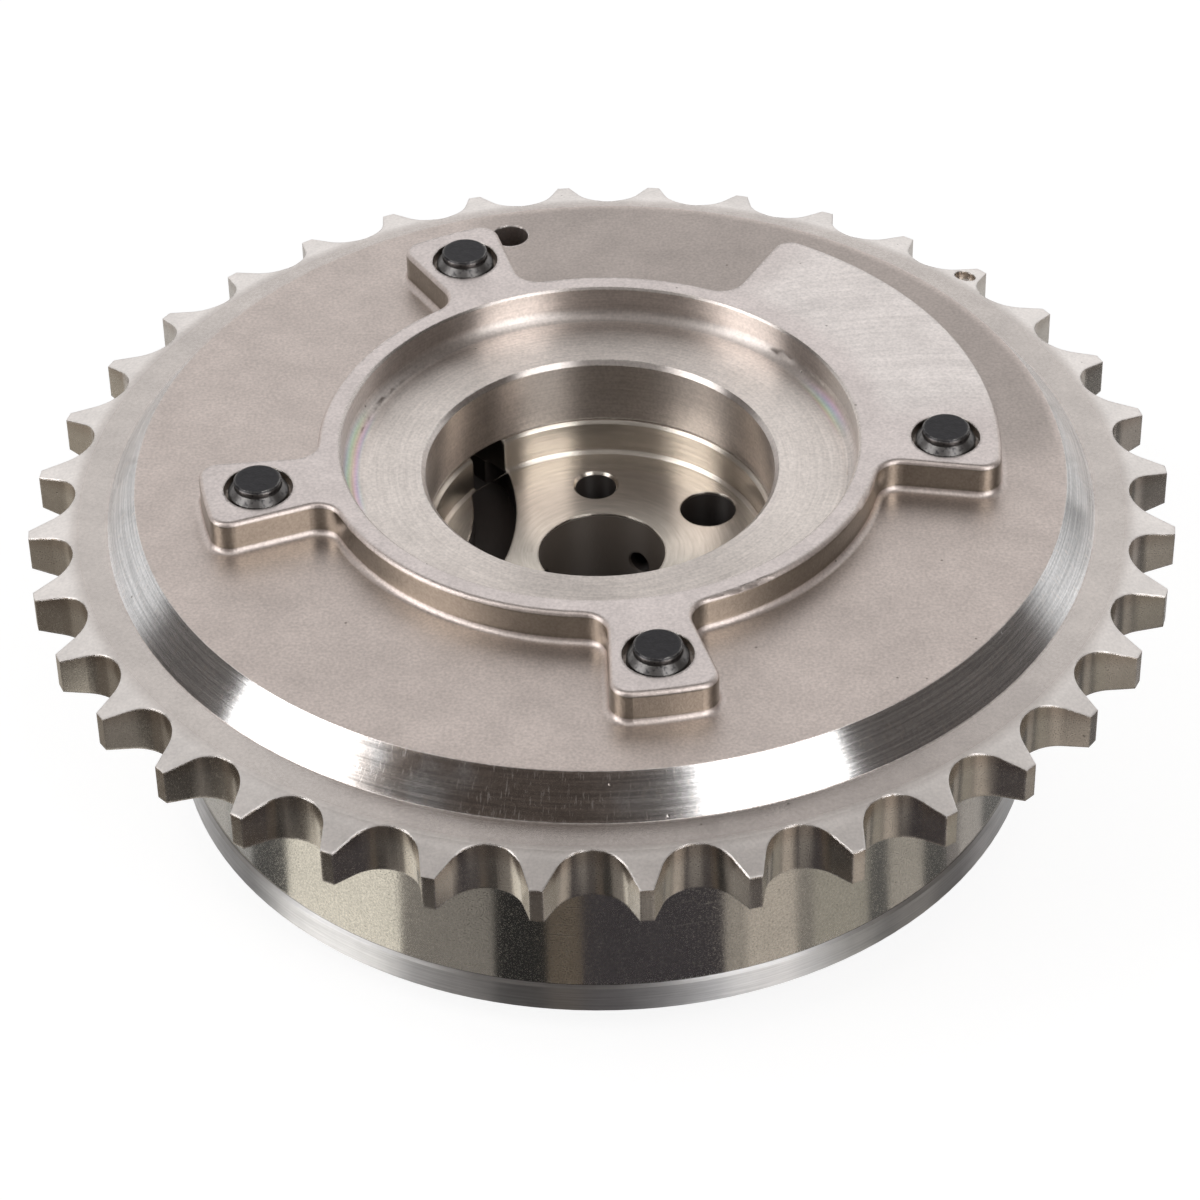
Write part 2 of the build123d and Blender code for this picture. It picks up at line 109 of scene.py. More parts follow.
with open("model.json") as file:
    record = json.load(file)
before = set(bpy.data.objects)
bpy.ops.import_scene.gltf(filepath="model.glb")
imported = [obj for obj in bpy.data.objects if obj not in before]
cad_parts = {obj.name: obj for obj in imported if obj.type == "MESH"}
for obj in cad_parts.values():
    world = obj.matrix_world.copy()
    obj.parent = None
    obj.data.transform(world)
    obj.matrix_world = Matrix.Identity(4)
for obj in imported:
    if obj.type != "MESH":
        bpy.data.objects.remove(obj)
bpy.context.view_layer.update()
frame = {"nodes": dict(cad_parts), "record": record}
DRUM_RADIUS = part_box("housing")[1].x
nodes = frame["nodes"]
mounts = {mount["name"]: mount for mount in frame["record"]["mounts"]}


def linear(code):
    """Turn an sRGB hex code into a linear colour with full alpha."""
    channels = [int(code[i:i + 2], 16) / 255 for i in (0, 2, 4)]
    return [c / 12.92 if c <= 0.04045 else ((c + 0.055) / 1.055) ** 2.4 for c in channels] + [1.0]


def bore_radius(name):
    """Return the radius of a bore mount in metres."""
    return mounts[name]["dims"]["r_mm"] * MM


def length(name, description, default):
    """Describe a length property."""
    return FloatProperty(name=name, description=description, default=default, unit="LENGTH")


def colour(name, description, code):
    """Describe a colour property."""
    return FloatVectorProperty(name=name, description=description, default=linear(code), size=4,
                               subtype="COLOR", min=0, max=1)


class PhaserSizes(bpy.types.PropertyGroup):
    """Levels and radii at which the finish of a piece, or the shade painted on it, changes."""

    spider_top: length("Spider top", "Height of the milled face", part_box("sprocket_plate")[1].z)
    spider_height: length("Spider height", "Height of the spider over the plate", 3.45 * MM)
    recess_radius: length("Recess radius", "Turned recess in the spider", bore_radius("cam_flange_recess"))
    recess_floor: length("Recess floor", "Height of the recess's floor", 36.8 * MM)
    wide_lug_radius: length("Wide lug radius", "Where the milling marks begin", 28.5 * MM)
    # Painted shade: inside this radius the rear of the plate is painted darker
    rear_shade_radius: length("Dull radius", "Outer edge of the plate's dull rear part", 45.6 * MM)
    bevel_top_radius: length("Bevel top radius", "Upper edge of the turned bevel", 46.11 * MM)
    bevel_foot_radius: length("Bevel foot radius", "Lower edge of the turned bevel", 49.4 * MM)
    flange_level: length("Flange level", "Height of the flat ring inside the teeth", 33.1 * MM)
    taper_radius: length("Taper radius", "Where the teeth begin to taper", 52.74 * MM)
    seat_radius: length("Seat radius", "Camshaft seat in the rotor", bore_radius("camshaft_seat"))
    seat_level: length("Seat level", "Height of the seat's face", mounts["camshaft_seat_face"]["pos_m"][2])
    hollow_foot: length("Hollow foot", "Height where the rotor's dark holes end", 9.0 * MM)
    thread_foot: length("Thread foot", "Height where the bolts' threads begin", 7.5 * MM)
    cover_level: length("Cover level", "Height of the front cover's inner face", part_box("front_cover")[1].z)
    edge: length("Edge", "Width of the broken edges", 0.15 * MM)


class PhaserColours(bpy.types.PropertyGroup):
    """Base colours of the metals, and the shade, reflections and highlights painted on them."""

    blasted: colour("Blasted steel", "Sintered steel as blasted", "d4c8c2")
    wall: colour("Spider walls", "Upright walls of the spider", "a39b90")
    # Painted shade: this darker tone goes on the rear of the plate and the front of the ring
    dull: colour("Dull steel", "Under a thin film of oil", "a39a95")
    # Used for scuffed edges and scratches, and for painted highlights on the edges, the tooth tops and the
    # wide lug
    wear_and_glint: colour("Worn edges", "Edges rubbed bright", "f2ece8")
    milled: colour("Milled steel", "Faces that were milled or ground", "dad0cd")
    turned: colour("Turned steel", "Bores, recess and bevel", "d1c9c4")
    bevel: colour("Bevel", "Turned bevel inside the teeth", "e0dfdf")
    faced: colour("Faced steel", "Floor of the recess", "e0d7d1")
    # Painted reflection: a brown tone laid on the tops of the flanks and the front of the bevel
    brown_reflection: colour("Stain", "Brown tarnish on bright steel", "9a8676")
    flange: colour("Flange steel", "Ring inside the teeth", "cec6c1")
    flank: colour("Tooth flanks", "Walls of the tooth gaps", "c8c1b8")
    drum: colour("Drum", "Outside of the housing", "d2cec6")
    cover: colour("Front cover", "Turned front cover", "d9d8d8")
    rotor: colour("Rotor", "Machined rotor steel", "d0c8be")
    hollow: colour("Hollows", "Unmachined holes and slots", "6d645c")
    # Painted shade: laid in the rotor's slots, on the cover's ledge and on the plate's rear-leaning edges
    painted_shade: colour("Grime", "Dark film where nothing rubs", "3c3633")
    oxide: colour("Black oxide", "Bolts", "3b3a3c")
    hardened: colour("Hardened steel", "Lock pin and bush", "b9b6b2")
    spring: colour("Spring steel", "Coil and leaf springs", "8d8a88")
    seal: colour("Seal polymer", "Vane and lobe seals", "3a302a")


class PhaserStage(bpy.types.PropertyGroup):
    """Camera, lamps, floor and surroundings."""

    azimuth: FloatProperty(name="Azimuth", description="Camera's turn about the axis",
                           default=radians(2.12), subtype="ANGLE")
    elevation: FloatProperty(name="Elevation", description="Camera's height as an angle",
                             default=radians(39.0), subtype="ANGLE")
    roll: FloatProperty(name="Roll", description="Camera's roll", default=radians(-1.22), subtype="ANGLE")
    distance: length("Distance", "From the camera to the aim point", 414.4 * MM)
    aim_right: length("Aim right", "Sideways offset of the view", -0.29 * MM)
    aim_up: length("Aim up", "Upward offset of the view", -9.78 * MM)
    aim_level: length("Aim level", "Height of the point that is aimed at", 32.05 * MM)
    focal_length: FloatProperty(name="Focal length", description="In millimetres", default=124.4)
    panel_distance: length("Panel distance", "From the part to each panel", 1.2)
    panel_radiance: FloatProperty(name="Panel radiance", description="Of the side panels, white is 1",
                                  default=3.2)
    overhead_radiance: FloatProperty(name="Overhead radiance", description="Of the panel above",
                                     default=0.8)
    floor_size: length("Floor size", "Side of the square floor", 3.0)
    floor_colour: colour("Floor", "Pale studio floor", "f4f4f4")
    card_length: length("Card length", "Of the grey cards round the part", 400 * MM)
    room: colour("Room", "Surroundings on the camera's side", "5a5552")
    paper: colour("Paper", "Paper behind the part", "f2f2f2")
    ceiling: colour("Ceiling", "Above the paper", "9d9996")


def add(tree, kind, inputs, **settings):
    """Add a node with its settings, and set or link the inputs named by socket."""
    node = tree.nodes.new("ShaderNode" + kind)
    for name, value in settings.items():
        setattr(node, name, value)
    for name, value in inputs.items():
        socket = node.inputs[name]
        if isinstance(name, str):
            socket = next(s for s in node.inputs if s.enabled and s.name == name)
        if isinstance(value, bpy.types.Node):
            value = next(s for s in value.outputs if s.enabled)
        if isinstance(value, bpy.types.NodeSocket):
            tree.links.new(value, socket)
        else:
            socket.default_value = value
    return node


def overlap(tree, *masks):
    """Return the product of masks and strengths, which is 1 only where all of them are."""
    product = masks[0]
    for mask in masks[1:]:
        product = add(tree, "Math", {0: product, 1: mask}, operation="MULTIPLY")
    return product


def total(tree, *values):
    """Return the sum of several values."""
    result = values[0]
    for value in values[1:]:
        result = add(tree, "Math", {0: result, 1: value}, operation="ADD")
    return result


def layered(tree, data_type, first, *layers):
    """Lay colours or numbers over a first one in order.

    Each layer is a mask and a value, with a strength after them where it is thin.
    """
    result = first
    for mask, value, *strength in layers:
        shown = overlap(tree, mask, *strength)
        result = add(tree, "Mix", {"Factor": shown, "A": result, "B": value}, data_type=data_type)
    return result


def place(tree, axis=(0.0, 0.0, 0.0)):
    """Return the point on the piece in millimetres from an axis, with its level, radius and angle."""
    coordinates = add(tree, "TexCoord", {}).outputs["Object"]
    point = add(tree, "VectorMath", {0: coordinates, "Scale": 1 / MM}, operation="SCALE")
    point = add(tree, "VectorMath", {0: point, 1: axis}, operation="SUBTRACT")
    parts = add(tree, "SeparateXYZ", {"Vector": point})
    flat = add(tree, "CombineXYZ", {"X": parts.outputs["X"], "Y": parts.outputs["Y"]})
    radius = add(tree, "VectorMath", {0: flat}, operation="LENGTH").outputs["Value"]
    angle = add(tree, "Math", {0: parts.outputs["Y"], 1: parts.outputs["X"]}, operation="ARCTAN2")
    return SimpleNamespace(point=point, level=parts.outputs["Z"], radius=radius, angle=angle)


def between(tree, value, low, high, soft=0.03):
    """Return 1 where a value lies between two limits and 0 outside, with soft edges."""
    rise = add(tree, "MapRange", {"Value": value, "From Min": low - soft, "From Max": low + soft},
               interpolation_type="SMOOTHSTEP")
    fall = add(tree, "MapRange", {"Value": value, "From Min": high + soft, "From Max": high - soft},
               interpolation_type="SMOOTHSTEP")
    return overlap(tree, rise, fall)


def sector(tree, angle, limits, soft):
    """Return 1 between two limits in degrees round the axis, with soft edges in radians."""
    start, end = limits
    return between(tree, angle, radians(start), radians(end), soft)


def stretched(tree, along, across, height, scale, detail=3.0):
    """Return noise whose grain is set by three coordinates of its own, centred on 0."""
    vector = add(tree, "CombineXYZ", {"X": along, "Y": across, "Z": height})
    noise = add(tree, "TexNoise", {"Vector": vector, "Scale": scale, "Detail": detail})
    return total(tree, noise.outputs["Fac"], -0.5)


def grain(tree, point, size, height=1.0):
    """Return the relief of an even grain of a size and height in millimetres, centred on 0.

    Blasting and sintering leave a grain of about 0.05 mm, which is too fine for the render. So it is
    drawn at 0.12 mm and more.
    """
    noise = add(tree, "TexNoise", {"Vector": point, "Scale": 1 / size, "Detail": 2.0})
    return overlap(tree, total(tree, noise.outputs["Fac"], -0.5), height)


def patches(tree, point, size, threshold, soft):
    """Return 1 on irregular patches of a size in millimetres, which a higher threshold makes fewer."""
    return between(tree, grain(tree, point, size), threshold, FAR, soft)


def turning(tree, at, pitch, height=1.0):
    """Return the relief of turning marks round the axis, broken up a little along their length.

    A finishing cut leaves marks about 0.1 mm apart, which is too fine for the render. So most
    pitches in this file are two to three times that.
    """
    marks = stretched(tree, at.radius, at.level, overlap(tree, at.angle, 0.8), 1 / pitch, 2.0)
    return overlap(tree, marks, height)


def specks(tree, point, spacing, size):
    """Return sparse round spots, 1 inside a spot."""
    cells = add(tree, "TexVoronoi", {"Vector": point, "Scale": 1 / spacing})
    spot = between(tree, cells.outputs["Distance"], -1.0, size / spacing, 0.3 * size / spacing)
    pick = add(tree, "SeparateXYZ", {"Vector": cells.outputs["Color"]})
    a_quarter = between(tree, pick.outputs["X"], 0.72, FAR)
    return overlap(tree, spot, a_quarter)


def shaded(tree, base, value, amount):
    """Return a colour that is lighter or darker by an amount where a value is 0.2 over or under 0."""
    shade = add(tree, "MapRange", {"Value": value, "From Min": -0.2, "From Max": 0.2,
                                   "To Min": 1 - amount, "To Max": 1 + amount})
    tone = base if isinstance(base, bpy.types.Node) else base[:3]
    return add(tree, "VectorMath", {0: tone, "Scale": shade}, operation="SCALE")


def mottled(tree, point, base, size, amount):
    """Return a colour with lighter and darker patches of a size in millimetres."""
    noise = add(tree, "TexNoise", {"Vector": point, "Scale": 1 / size, "Detail": 4.0, "Roughness": 0.6})
    return shaded(tree, base, total(tree, noise.outputs["Fac"], -0.5), amount)


def edges(tree, width):
    """Return the normal with broken edges, masks of them and of the border beside them, and the
    normal rounded all over.
    """
    rounded = add(tree, "Bevel", {"Radius": 3 * width}, samples=4)
    flat = add(tree, "NewGeometry", {}).outputs["Normal"]
    same = add(tree, "VectorMath", {0: rounded, 1: flat}, operation="DOT_PRODUCT").outputs["Value"]
    wear_and_glint = add(tree, "MapRange", {"Value": same, "From Min": 0.93, "From Max": 0.8})
    border = add(tree, "MapRange", {"Value": same, "From Min": 0.9995, "From Max": 0.98})
    normal = add(tree, "Mix", {"Factor": wear_and_glint, "A": flat, "B": rounded}, data_type="VECTOR")
    return SimpleNamespace(normal=normal, wear_and_glint=wear_and_glint, border=border, rounded=rounded)


def new_material(name):
    """Return an empty node material with its tree."""
    material = bpy.data.materials.new(name)
    material.use_nodes = True
    material.node_tree.nodes.clear()
    return material, material.node_tree


def metal(tree, base, roughness, relief, normal, anisotropy=0.0, bare=1.0):
    """Return a metal shader with its relief in millimetres on a normal.

    With anisotropy it is turned round the axis, and its reflections spread across the turning marks.
    """
    bump = add(tree, "Bump", {"Strength": 1.0, "Distance": MM, "Height": relief, "Normal": normal})
    inputs = {"Base Color": base, "Metallic": bare, "Roughness": roughness, "Anisotropic": anisotropy,
              "Normal": bump}
    if anisotropy:
        inputs["Tangent"] = add(tree, "Tangent", {}, direction_type="RADIAL", axis="Z")
        inputs["Anisotropic Rotation"] = 0.25
    return add(tree, "BsdfPrincipled", inputs)


def plate_finishes(tree, at, sizes):
    """Return masks that are 1 where each finish of the toothed plate lies, and where shade and reflections
    are painted on it.
    """
    spider_top = sizes.spider_top / MM
    plate_top = (sizes.spider_top - sizes.spider_height) / MM
    flange = sizes.flange_level / MM
    recess = sizes.recess_radius / MM
    bevel_top = sizes.bevel_top_radius / MM
    bevel_foot = sizes.bevel_foot_radius / MM
    facing = add(tree, "SeparateXYZ", {"Vector": add(tree, "NewGeometry", {}).outputs["Normal"]})
    flatness = add(tree, "Math", {0: facing.outputs["Z"]}, operation="ABSOLUTE")
    upright = between(tree, flatness, -FAR, 0.3, 0.1)

    on = SimpleNamespace()
    on.milled = overlap(tree, between(tree, at.level, spider_top - 0.04, FAR),
                        between(tree, at.radius, recess, FAR))
    on.turned = overlap(tree, between(tree, at.radius, -FAR, recess + 0.3, 0.05),
                        between(tree, at.level, plate_top - 8, spider_top - 0.02))
    on.floor = overlap(tree, on.turned, between(tree, flatness, 0.9, FAR, 0.05),
                       between(tree, at.radius, -FAR, recess - 1))
    on.bevel = overlap(tree, between(tree, at.level, flange + 0.05, plate_top - 0.02),
                       between(tree, at.radius, bevel_top, bevel_foot))
    on.ring = between(tree, at.radius, bevel_foot - 0.3, FAR, 0.3)
    # Painted reflection of the dark bevel on the front of the ring
    on.oiled = overlap(tree, on.ring, sector(tree, at.angle, RING_REFLECTION, 0.3))
    on.tops = between(tree, at.radius, sizes.taper_radius / MM, FAR, 0.8)
    on.flank = overlap(tree, between(tree, at.radius, bevel_foot + 1, FAR), upright)
    on.upper_flank = overlap(tree, on.flank, between(tree, at.level, flange - 1.6, FAR, 1.0))
    on.wall = overlap(tree, upright, between(tree, at.radius, recess + 0.5, bevel_top),
                      between(tree, at.level, plate_top + 0.1, FAR))
    # Painted shade on the rear of the plate
    on.dull_rear = overlap(tree, sector(tree, at.angle, REAR_SHADE, 0.12),
                           between(tree, at.radius, -FAR, sizes.rear_shade_radius / MM, 0.5))
    on.wide_lug = overlap(tree, between(tree, at.radius, sizes.wide_lug_radius / MM, FAR, 1.5),
                          sector(tree, at.angle, WIDE_LUG, 0.1), on.milled)
    return on


def plate_colour(tree, at, edge, on, arcs, spots, sizes, colours):
    """Return the plate's colour: each finish, its marks, then wear, and the shade, highlights, reflections
    and rainbow tints painted on it.
    """
    recess = sizes.recess_radius / MM
    # Painted reflection: brown patches on the front of the bevel
    bevel_reflection = overlap(tree, on.bevel, patches(tree, at.point, 7.0, -0.1, 0.12),
                      sector(tree, at.angle, BEVEL_REFLECTION, 0.15))
    base = layered(
        tree, "RGBA", colours.blasted,
        # Painted shade: the rear of the plate darker
        (on.dull_rear, colours.dull, 0.6),
        (on.ring, colours.flange),
        # Painted reflection: the ring darker at the front, where it mirrors the dark bevel
        (on.oiled, colours.dull, 0.65),
        # Painted reflection: the tooth tops painted light
        (on.tops, colours.wear_and_glint),
        (on.flank, colours.flank),
        # Painted reflection: the flanks darker and browner towards their tops
        (on.upper_flank, colours.brown_reflection, 0.4),
        (on.milled, colours.milled),
        # Painted highlight: the wide lug lighter
        (on.wide_lug, colours.wear_and_glint, 0.5),
        (on.turned, colours.turned),
        (on.floor, colours.faced),
        (on.bevel, colours.bevel),
        (bevel_reflection, colours.brown_reflection, 0.7),
        (on.wall, colours.wall),
    )

    base = mottled(tree, at.point, base, 5.0, 0.08)
    weaker_on_ring = layered(tree, "FLOAT", 1.0, (on.ring, 0.6))
    base = shaded(tree, base, overlap(tree, grain(tree, at.point, 0.3), weaker_on_ring), 0.11)
    depth = total(tree, overlap(tree, on.turned, 0.4), overlap(tree, on.bevel, 1.4))
    marks = overlap(tree, depth, turning(tree, at, 0.22))
    base = shaded(tree, base, total(tree, marks, overlap(tree, arcs, 0.35)), 0.18)

    # Hairlines run down the bevel, so they are far finer along the angle than along the radius
    hair = stretched(tree, overlap(tree, at.angle, 300), overlap(tree, at.radius, 0.6), at.level,
                     1.0, 4.0)
    hairlines = overlap(tree, on.bevel, between(tree, hair, 0.12, FAR, 0.04))
    # The broken edges are painted bright: wear, with a painted highlight along them
    wear_and_glint = overlap(tree, edge.wear_and_glint, patches(tree, at.point, 0.6, -0.03, 0.06))
    # Painted shade: a dark line on the strip beside the milled edges
    rubbed_and_painted = overlap(tree, edge.border, on.milled)
    # Painted glints: light dots in the strip beside the milled edges
    glints = overlap(tree, rubbed_and_painted, patches(tree, at.point, 0.16, 0.12, 0.03))

    # Painted shade: broken dark dots on the edges that lean to the rear, outside the recess
    lean = add(tree, "SeparateXYZ", {"Vector": edge.rounded}).outputs["Y"]
    rear_edge_shade = overlap(tree, rubbed_and_painted, between(tree, lean, 0.12, FAR, 0.06),
                   between(tree, at.radius, recess + 1, FAR, 0.2),
                   patches(tree, at.point, 0.5, -0.04, 0.03))

    # Painted reflection: faint rainbow tints on the recess's rim at two places, like those that fine turning
    # marks throw
    sideways = add(tree, "Math", {0: at.angle}, operation="ABSOLUTE")
    sheen = total(tree, sector(tree, sideways, RAINBOW_LEFT, 0.1),
                 sector(tree, at.angle, RAINBOW_RIGHT, 0.13))
    sheen = overlap(tree, sheen, between(tree, at.radius, recess - 1.6, recess - 0.2, 0.3))
    hue = total(tree, overlap(tree, sideways, 0.6), overlap(tree, at.radius, 0.7))
    hue = add(tree, "Math", {0: hue}, operation="FRACT")
    tints = add(tree, "CombineColor", {"Red": hue, "Green": 0.5, "Blue": 0.8}, mode="HSV")
    return layered(
        tree, "RGBA", base,
        (hairlines, colours.wear_and_glint, 0.8),
        (spots, colours.hollow, 0.6),
        (wear_and_glint, colours.wear_and_glint),
        (rubbed_and_painted, colours.wall, 0.35),
        (glints, colours.wear_and_glint),
        (rear_edge_shade, colours.painted_shade, 0.8),
        (sheen, tints, 0.35),
    )


def plate_roughness(tree, at, edge, on, sizes):
    """Return the plate's roughness: smooth where it was cut, and matt where it was only blasted."""
    recess = sizes.recess_radius / MM
    floor_level = sizes.recess_floor / MM
    flank = layered(tree, "FLOAT", 0.22, (patches(tree, at.point, 0.12, 0.12, 0.04), 0.4))
    corner = overlap(tree, between(tree, at.radius, recess - 1.4, recess - 0.05, 0.1),
                     between(tree, at.level, floor_level, floor_level + 1.3, 0.05))
    return layered(
        tree, "FLOAT", 0.43,
        (on.ring, 0.27),
        (on.tops, 0.4),
        (on.flank, flank),
        (on.wall, 0.3),
        (on.milled, 0.3),
        (on.turned, 0.31),
        (corner, 0.42),
        (on.bevel, 0.2),
        (edge.wear_and_glint, 0.25, 0.7),
    )


def plate_relief(tree, at, on, arcs, spots, sizes):
    """Return the plate's relief in millimetres: blasted grain, turning and milling marks, and pits."""
    blasted = total(tree, grain(tree, at.point, 0.22, 0.02), grain(tree, at.point, 0.7, 0.012))

    # The edge where the teeth begin to taper is rounded over 1.5 mm on either side
    from_edge = total(tree, at.radius, -sizes.taper_radius / MM)
    from_edge = add(tree, "Math", {0: from_edge}, operation="ABSOLUTE")
    near = add(tree, "MapRange", {"Value": from_edge, "From Min": 1.5, "From Max": 0.0})
    ring = total(tree, grain(tree, at.point, 0.2, 0.008), turning(tree, at, 0.3, 0.004),
                 overlap(tree, near, near, -0.07))

    # The tooth cutter's marks run up the flanks, five to a millimetre at the tips
    cutter = stretched(tree, overlap(tree, at.angle, 5 * TIP_RADIUS), overlap(tree, at.level, 0.4),
                       at.radius, 1.0)
    flank = total(tree, overlap(tree, cutter, 0.008), grain(tree, at.point, 0.15, 0.005))
    milled = total(tree, turning(tree, at, 0.25, 0.006), overlap(tree, arcs, 0.012),
                   grain(tree, at.point, 0.15, 0.003))
    turned = total(tree, turning(tree, at, 0.25, 0.005), turning(tree, at, 1.2, 0.008))
    relief = layered(
        tree, "FLOAT", blasted,
        (on.ring, ring),
        (on.flank, flank),
        (on.milled, milled),
        (on.turned, turned),
        (on.bevel, turned),
    )
    return total(tree, relief, overlap(tree, spots, -0.02))


def sprocket_steel(sizes, colours):
    """Sintered nickel steel, blasted warm grey, with bright turned and milled faces."""
    material, tree = new_material("sintered_nickel_steel")
    at = place(tree)
    edge = edges(tree, sizes.edge)
    on = plate_finishes(tree, at, sizes)

    # The mill leaves wide arcs on the wide lug, about half a millimetre apart
    from_centre = add(tree, "VectorMath", {0: at.point, 1: MILLING_CENTRE}, operation="SUBTRACT")
    from_centre = add(tree, "VectorMath", {0: from_centre}, operation="LENGTH").outputs["Value"]
    arcs = overlap(tree, stretched(tree, from_centre, overlap(tree, at.angle, 2.0), 0.0, 2.2, 1.0),
                   on.wide_lug)
    spots = specks(tree, at.point, 2.6, 0.13)

    base = plate_colour(tree, at, edge, on, arcs, spots, sizes, colours)
    roughness = plate_roughness(tree, at, edge, on, sizes)
    relief = plate_relief(tree, at, on, arcs, spots, sizes)
    plain = metal(tree, base, roughness, relief, edge.normal)
    spun = metal(tree, base, roughness, relief, edge.normal, 0.92)
    brushed = between(tree, total(tree, on.turned, on.bevel), 0.5, FAR, 0.3)
    shader = add(tree, "MixShader", {"Fac": brushed, 1: plain, 2: spun})
    add(tree, "OutputMaterial", {"Surface": shader})
    return material


def drum_steel(colours):
    """Sintered steel ground on the outside: near mirror, with a sparkle of fine open grain."""
    material, tree = new_material("ground_sintered_steel")
    at = place(tree)
    base = mottled(tree, at.point, mottled(tree, at.point, colours.drum, 6.0, 0.04), 0.2, 0.26)
    scratch = stretched(tree, overlap(tree, at.angle, 5.0), overlap(tree, at.level, 3.0), at.radius,
                        1.0, 2.0)
    scratches = overlap(tree, between(tree, scratch, 0.2, FAR, 0.03),
                        sector(tree, at.angle, SCRATCHED_DRUM, 0.1))
    # Grinding marks run round the drum, half a millimetre apart, which is coarser than the real ones
    grinding = stretched(tree, at.level, at.radius, overlap(tree, at.angle, 0.8), 2.0, 2.0)
    relief = total(tree, grain(tree, at.point, 0.2, 0.006), overlap(tree, grinding, 0.001))
    roughness = layered(tree, "FLOAT", 0.13, (patches(tree, at.point, 0.12, 0.1, 0.04), 0.45),
                        (scratches, 0.5, 0.6))
    normal = add(tree, "NewGeometry", {}).outputs["Normal"]
    add(tree, "OutputMaterial", {"Surface": metal(tree, base, roughness, relief, normal)})
    return material


def cover_steel(sizes, colours):
    """Turned steel: fine marks run round the rim and make long soft streaks."""
    material, tree = new_material("turned_steel")
    at = place(tree)
    # Painted shade: the ledge on top of the cover is dark
    ledge = between(tree, at.level, sizes.cover_level / MM - 0.05, FAR)
    base = mottled(tree, at.point, colours.cover, 3.0, 0.06)
    base = layered(tree, "RGBA", base, (ledge, colours.painted_shade))
    lines = stretched(tree, overlap(tree, at.angle, 6.0), overlap(tree, at.level, 5.0), at.radius, 1.0)
    base = shaded(tree, base, lines, 0.12)
    normal = add(tree, "NewGeometry", {}).outputs["Normal"]
    shader = metal(tree, base, 0.5, turning(tree, at, 0.12, 0.01), normal, 0.95)
    add(tree, "OutputMaterial", {"Surface": shader})
    return material


def rotor_steel(sizes, colours):
    """Machined steel: a bright turned seat, with dark unmachined holes and slots below it, and painted shade
    in the slots and holes round the bolt hole.
    """
    material, tree = new_material("machined_rotor_steel")
    at = place(tree)
    edge = edges(tree, sizes.edge)
    foot, seat = sizes.hollow_foot / MM, sizes.seat_level / MM
    hollow = overlap(tree, between(tree, at.level, foot, seat - 0.3, 0.05),
                     between(tree, at.radius, -FAR, sizes.seat_radius / MM + 8))
    bolt_hole = bore_radius("cam_bolt_hole") / MM
    # Painted shade: the holes and slots round the bolt hole darker still
    outer = overlap(tree, hollow, between(tree, at.radius, bolt_hole + 0.3, FAR))
    base = mottled(tree, at.point, colours.rotor, 3.0, 0.05)
    base = shaded(tree, base, turning(tree, at, 0.25), 0.09)
    base = layered(tree, "RGBA", base, (hollow, colours.hollow), (outer, colours.painted_shade))
    marks = total(tree, turning(tree, at, 0.3, 0.004), grain(tree, at.point, 0.2, 0.002))
    relief = layered(tree, "FLOAT", marks, (hollow, grain(tree, at.point, 0.25, 0.02)))
    roughness = layered(tree, "FLOAT", 0.27, (hollow, 0.6), (edge.wear_and_glint, 0.2))
    bare = layered(tree, "FLOAT", 1.0, (hollow, 0.2))
    shader = metal(tree, base, roughness, relief, edge.normal, 0.92, bare)
    add(tree, "OutputMaterial", {"Surface": shader})
    return material


def black_oxide(name, axis, sizes, colours):
    """Black oxide on steel: a dark turned end, scuffed grey on its rim with a painted highlight there too,
    and painted highlights in patches down its sides.
    """
    material, tree = new_material(name)
    at = place(tree, (axis.x / MM, axis.y / MM, 0.0))
    edge = edges(tree, sizes.edge)
    dog_foot = sizes.spider_top / MM - 1.5
    # Painted highlight: lighter patches down the sides
    sides = overlap(tree, between(tree, at.level, dog_foot, dog_foot + 2.45, 0.1),
                    patches(tree, at.point, 0.4, -0.15, 0.15))
    # The rim is scuffed grey, with a painted highlight laid on it
    rubbed_and_painted = overlap(tree, edge.wear_and_glint, patches(tree, at.point, 0.4, -0.1, 0.1))
    base = mottled(tree, at.point, colours.oxide, 0.6, 0.15)
    base = layered(tree, "RGBA", base, (sides, colours.spring, 0.6), (rubbed_and_painted, colours.hardened, 0.9))
    # A wave texture has a period of pi / 10 over its scale
    thread = add(tree, "TexWave", {"Vector": at.point, "Scale": pi / 10 / THREAD_PITCH, "Distortion": 0.0},
                 bands_direction="Z", wave_profile="TRI")
    shank = between(tree, at.level, sizes.thread_foot / MM, dog_foot)
    relief = total(tree, grain(tree, at.point, 0.15, 0.01), turning(tree, at, 0.2, 0.02),
                   overlap(tree, shank, thread.outputs["Fac"], 0.2))
    roughness = layered(tree, "FLOAT", 0.36, (rubbed_and_painted, 0.25))
    add(tree, "OutputMaterial", {"Surface": metal(tree, base, roughness, relief, edge.normal)})
    return material


def plain_metal(name, base_colour, sizes, roughness, pitch):
    """Plain machined steel with fine marks of a pitch in millimetres."""
    material, tree = new_material(name)
    at = place(tree)
    edge = edges(tree, sizes.edge)
    base = mottled(tree, at.point, base_colour, 1.5, 0.06)
    smoothed = layered(tree, "FLOAT", roughness, (edge.wear_and_glint, 0.5 * roughness))
    shader = metal(tree, base, smoothed, grain(tree, at.point, pitch, 0.004), edge.normal)
    add(tree, "OutputMaterial", {"Surface": shader})
    return material


def seal_polymer(colours):
    """Filled seal polymer: dark brown, smooth and faintly mottled."""
    material, tree = new_material("filled_seal_polymer")
    at = place(tree)
    bump = add(tree, "Bump", {"Distance": MM, "Height": grain(tree, at.point, 0.12, 0.01)})
    shader = add(tree, "BsdfPrincipled", {"Base Color": mottled(tree, at.point, colours.seal, 0.8, 0.12),
                                          "Roughness": 0.45, "IOR": 1.55, "Normal": bump})
    add(tree, "OutputMaterial", {"Surface": shader})
    return material


